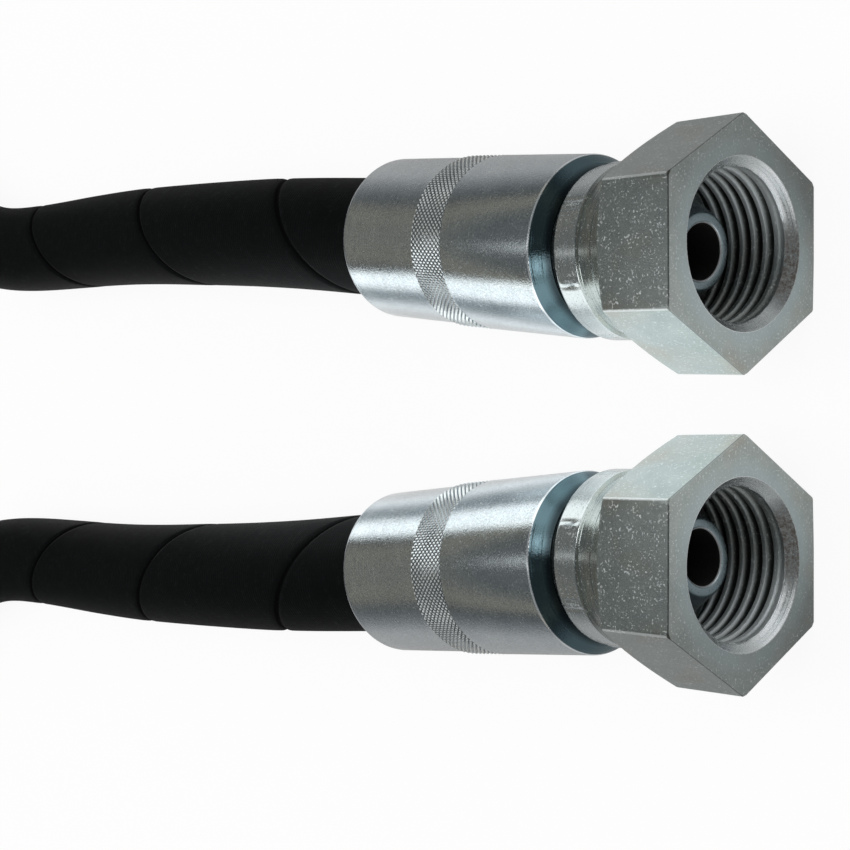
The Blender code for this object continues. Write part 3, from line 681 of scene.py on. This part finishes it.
def zinc(name, look):
    # zinc plate: a cloudy grey between two tones, a grain that breaks up its gloss, powdery pale
    # specks and darker ones, turned lines where the lathe left them, and coats of other colours
    # on parts of the pieces, among them painted highlights, a painted reflection and painted shade
    kit = Kit(bpy.data.materials.new(name))
    spot = kit.spot()
    x, y, z = spot.split()
    radial = (x * x + y * y).maths("SQRT")
    depth = 0.0 - z
    around = y.maths("ARCTAN2", x)

    def zone(part):
        # 1 inside a part and 0 outside it: the product of the fades at its limits
        share = 1.0
        for limit, fade in zincLook["zones"][part].items():
            step = (radial if limit.endswith("Radius") else depth).between(*fade)
            share = share * (1.0 - step if limit.startswith("to") else step)
        return share

    def patch(place):
        # 1 in the middle of a part of the bore's circle, falling to 0 outside it
        middle, full, gone = zincLook[place]
        return 1.0 - (around - middle).maths("ABSOLUTE").between(full, gone)

    cloud = kit.noise(spot, 0.30, 4.0, 0.6)
    fine = kit.noise(spot, 3.2, 3.0, 0.6)
    grain = kit.noise(spot, 6.5, 2.0, 0.6)
    close, waver = zincLook["lineScale"], zincLook["lineWaver"]
    lineSpot = kit.node("CombineXYZ", {}, {0: radial * close, 1: z * close, 2: cloud * waver})
    lines = kit.noise(lineSpot, 1.0, 3.0, 0.7)
    pits = kit.noise(spot, 4.6, 2.0, 0.5).between(0.60, 0.70)
    powder = (kit.noise(spot, 3.5, 1.5, 0.5).between(0.585, 0.68)
              * kit.noise(spot, 0.8, 1.0).between(0.30, 0.55))

    # the collar behind the nut's hexagon and the mouth's cone are turned
    collar, mouth, bore, ring = zone("collar"), zone("mouth"), zone("bore"), zone("ring")
    brushed = (collar + mouth).clamped()
    lip = collar * zone("lip")
    corner, rim = zone("corner"), zone("rim") + zone("boreRim")
    knurled = zone("knurled")
    knurlTop = knurled * zone("knurlTop")
    # painted highlight on one side of the mouth's cone, along its turned lines
    shine = patch("paintedHighlightPlace") * mouth * lines.between(0.36, 0.62)
    stained = patch("stainPlace") * mouth * kit.noise(spot, 2.4, 4.0, 0.7).between(0.34, 0.60)
    # painted light: the thread's crests are painted paler, most towards the bore's outer side
    outer = (x / radial).between(*zincLook["outerSide"])
    crest = zone("crest") * (outer * (1.0 - zincLook["crestInside"]) + zincLook["crestInside"])
    warmth = kit.noise(spot, 0.16, 2.0).between(0.45, 0.75) * look["tarnish"] + lip * 0.1

    tone = ((cloud - 0.5) * look["cloud"] + (fine - 0.5) * zincLook["fineTone"]
            + (grain - 0.5) * look["grain"]
            + (lines - 0.5) * (brushed * zincLook["brushTone"] + zincLook["lineTone"]) + 0.5)
    base = kit.blend(tone.clamped(), look["dark"], look["light"])
    # how much of each coat shows where, and its colour; each lies over those before it
    coats = [
        (warmth.clamped(), "warm"),
        (pits * look["dirt"], "grime"),
        (powder * (1.0 - brushed) * look["specks"], "powder"),
        # painted shade in the thread's grooves; the insert's bore is darkened as well
        ((zone("groove") * 0.9 + bore).clamped(), "grime"),
        # painted highlight on the knurl's tops
        (knurlTop, "knurlTop"),
        # painted shade in the knurl's gaps
        (knurled * zone("knurlGap") * 0.6, "grime"),
        # painted light on the thread's crests
        (crest * (lines * 0.5 + 0.5), "bright"),
        (mouth * 0.7 + lip * 0.5, "bright"),
        # painted highlight on the mouth's cone
        (shine, "shine"),
        (stained * 0.85, "stain"),
        (zone("mouthEdge") * 0.45, "cool"),
        # darkens the rounded edge and chamfer round the nut's front
        (zone("front") * 0.65, "grime"),
        # painted highlight: the hexagon's rounded corners take the pale speck colour
        (corner * 0.6, "powder"),
        # painted reflection: the ferrule's front ring is painted dark teal, and its inner part
        # takes a painted shadow
        (ring, "ring"),
        (ring * zone("ringInside") * 0.8, "shadow"),
        # painted highlight along the ferrule's front rim and the rim of the insert's bore
        (rim.clamped() * 0.6, "shine"),
    ]
    for share, colour in coats:
        base = kit.blend(share, base, zincLook["colours"][colour])

    marks = {"powder": powder, "bore": bore, "stained": stained, "collar": collar, "mouth": mouth,
             "crest": crest, "shine": shine, "corner": corner, "rim": rim, "knurlTop": knurlTop}
    rough = (look["rough"] + (fine - 0.5) * zincLook["fineRough"]
             + (cloud - 0.5) * zincLook["cloudRough"])
    for mark, amount in zincLook["rougher"].items():
        rough = rough + marks[mark] * amount
    metal = 1.0 - look["haze"] - powder * (look["specks"] * zincLook["speckDull"])
    for mark, amount in zincLook["duller"].items():
        metal = metal - marks[mark] * amount
    height = (lines * brushed * zincLook["brush"] + grain * look["sparkle"] + fine * look["sparkle"]
              + powder * look["specks"] * 0.3)
    normal = kit.node("Bump", {}, {"Strength": 0.35, "Distance": 0.00006, "Height": height})
    return kit.surface({"Base Color": base, "Roughness": rough, "Metallic": metal.clamped(),
                        "Normal": normal})


ferruleZinc = zinc("ferruleZinc", zincLook["ferrule"])
insertZinc = zinc("insertZinc", zincLook["insert"])
nutZinc = zinc("nutZinc", zincLook["nut"])
for end, side in (("a", 1), ("b", -1)):
    makeFerrule(end, side, ferruleZinc)
    makeInsert(end, side, insertZinc)
    makeNut(end, side, nutZinc)
    print("fitting", end, "made")


studio = {
    "floor": (0.90, 0.90, 0.90),
    "floorHalf": 6.0,              # from its middle to an edge, in metres
    "mottle": 0.985,               # how dark its darker patches are beside the rest
    "whiteness": 0.92,             # how far the floor is lifted to white for the camera
    "floorInMetal": 0.39,          # the same for what the metal shows of it
    # metal sees the floor white up to the first distance from the middle between the two ends,
    # and dimmed from the second on
    "gapLight": (0.012, 0.030),
    "skyInMetal": 0.03,            # how much of the white background metal shows above the floor
    "fill": 0.50,                  # level of the room for everything that isn't metal
    # what metal shows of the room by height, from the horizon to straight up
    "room": [(0.0, (0.36, 0.37, 0.38)), (0.10, (0.25, 0.26, 0.27)), (0.20, (0.13, 0.14, 0.145)),
             (0.30, (0.08, 0.09, 0.095)), (0.385, (0.06, 0.065, 0.065)), (0.42, (0.20, 0.19, 0.16)),
             (0.465, (0.60, 0.55, 0.42)), (0.505, (0.22, 0.21, 0.18)), (0.55, (0.09, 0.10, 0.10)),
             (0.645, (0.10, 0.115, 0.12)), (0.75, (0.15, 0.16, 0.16)), (0.90, (0.08, 0.10, 0.105)),
             (1.0, (0.06, 0.08, 0.085))],
    "frontDim": 0.45,              # how far the room darkens towards +X
    "overhead": {"place": (-0.10, 0.0, 0.75), "size": (0.5, 1.2), "watts": 3.6},
    # pale cards between the two ends, in pairs back to back, that only metal shows: their ends
    # along x, lowest and highest edge, brightness and tint
    "cardGap": 0.0005,
    "cards": [(-0.10, 0.05, 0.0240, 0.0385, 1.60, (0.95, 0.99, 1.0)),
              (-0.10, 0.003, 0.0010, 0.0236, 0.42, (0.82, 0.94, 1.0)),
              (0.003, 0.05, 0.0060, 0.0236, 1.05, (0.91, 0.98, 1.0))],
    # a narrow lamp high behind the object, that only metal shows, as a thin line on its edges
    "rim": {"place": (-0.15, 0.0, 0.74), "size": (0.08, 1.0), "level": 0.9},
    # a small one in front, that the ferrules' fronts show
    "near": {"place": (0.0295, 0.0, 0.0485), "size": (0.015, 0.015), "level": 3.2},
}


def makeFloor():
    # plain and pale; for the camera it also glows, and between the two ends for metal; the
    # light path's first output is Is Camera Ray
    half = studio["floorHalf"]
    mesh = bpy.data.meshes.new("studioFloor")
    mesh.from_pydata([(-half, -half, 0), (half, -half, 0), (half, half, 0), (-half, half, 0)], [],
                     [(0, 1, 2, 3)])
    floor = bpy.data.objects.new("studioFloor", mesh)
    scene.collection.objects.link(floor)
    kit = Kit(bpy.data.materials.new("studioFloor"))
    place = kit.node("TexCoord", {}, {}, out=3)
    darker = [value * studio["mottle"] for value in studio["floor"]]
    base = kit.blend(kit.noise(place, 3.0), studio["floor"], darker)
    kit.surface({"Base Color": base, "Roughness": 0.9, "Specular IOR Level": 0.0})
    x, y, z = place.split()
    low, high = studio["gapLight"]
    between = 1.0 - y.maths("ABSOLUTE").between(low, high)
    path = kit.node("LightPath", {}, {})
    glossy = path.also("Is Glossy Ray")
    seen = path + path.also("Is Transmission Ray")
    seen = seen * studio["whiteness"] + glossy * studio["floorInMetal"]
    white = kit.blend(glossy * (1.0 - between), (1.0, 1.0, 1.0), (0.0, 0.0, 0.0))
    light = kit.node("Emission", {}, {"Color": white})
    plain = Wire(kit, kit.tree.nodes["Principled BSDF"].outputs[0])
    mixed = kit.node("MixShader", {}, {0: seen.clamped(), 1: plain, 2: light})
    kit.feed(kit.tree.nodes["Material Output"].inputs[0], mixed)
    mesh.materials.append(kit.owner)


def makeLamp(name, place, aim, size, watts):
    data = bpy.data.lights.new(name, "AREA")
    data.shape = "RECTANGLE"
    data.size, data.size_y = size
    data.energy = watts
    lamp = bpy.data.objects.new(name, data)
    scene.collection.objects.link(lamp)
    lamp.location = place
    lamp.rotation_euler = (Vector(aim) - Vector(place)).to_track_quat("-Z", "Y").to_euler()
    lamp.visible_camera = False
    return lamp


def makeLamps():
    # the overhead lamp lights all that isn't shiny, the others are for metal: their watts are
    # brightness times pi times area
    overhead = studio["overhead"]
    lamp = makeLamp("overhead", overhead["place"], (0.0, 0.0, 0.0), overhead["size"],
                    overhead["watts"])
    lamp.visible_glossy = False
    for name in ("rim", "near"):
        values = studio[name]
        watts = values["level"] * math.pi * values["size"][0] * values["size"][1]
        lamp = makeLamp(name, values["place"], (0.0, 0.0, 0.0), values["size"], watts)
        lamp.visible_diffuse = False
    for count, (back, front, bottom, top, level, tint) in enumerate(studio["cards"]):
        size = (front - back, top - bottom)
        x, z = (back + front) / 2, (bottom + top) / 2
        for facing in (1, -1):
            card = makeLamp(f"card{count}", (x, -studio["cardGap"] * facing, z), (x, facing, z),
                            size, level * math.pi * size[0] * size[1])
            card.data.color = tint
            card.visible_diffuse = False


def makeWorld():
    # white to the camera, an even grey to plain surfaces and a dimmer room to metal
    world = bpy.data.worlds.new("studio")
    scene.world = world
    kit = Kit(world)
    x, y, z = kit.node("TexCoord", {}, {}).split()
    room = kit.node("ValToRGB", {"stops": studio["room"]}, {0: z.clamped()})
    room = kit.blend(x.clamped() * studio["frontDim"], room, (0.0, 0.0, 0.0))
    path = kit.node("LightPath", {}, {})
    glossy = path.also("Is Glossy Ray")
    shade = kit.blend(glossy, [studio["fill"]] * 3, room)
    seen = path + path.also("Is Transmission Ray") + glossy * studio["skyInMetal"]
    shade = kit.blend(seen.clamped(), shade, (1.0, 1.0, 1.0))
    kit.feed(world.node_tree.nodes["Background"].inputs[0], shade)


makeFloor()
makeLamps()
makeWorld()
scene.view_settings.view_transform = "Standard"
print("studio lit")
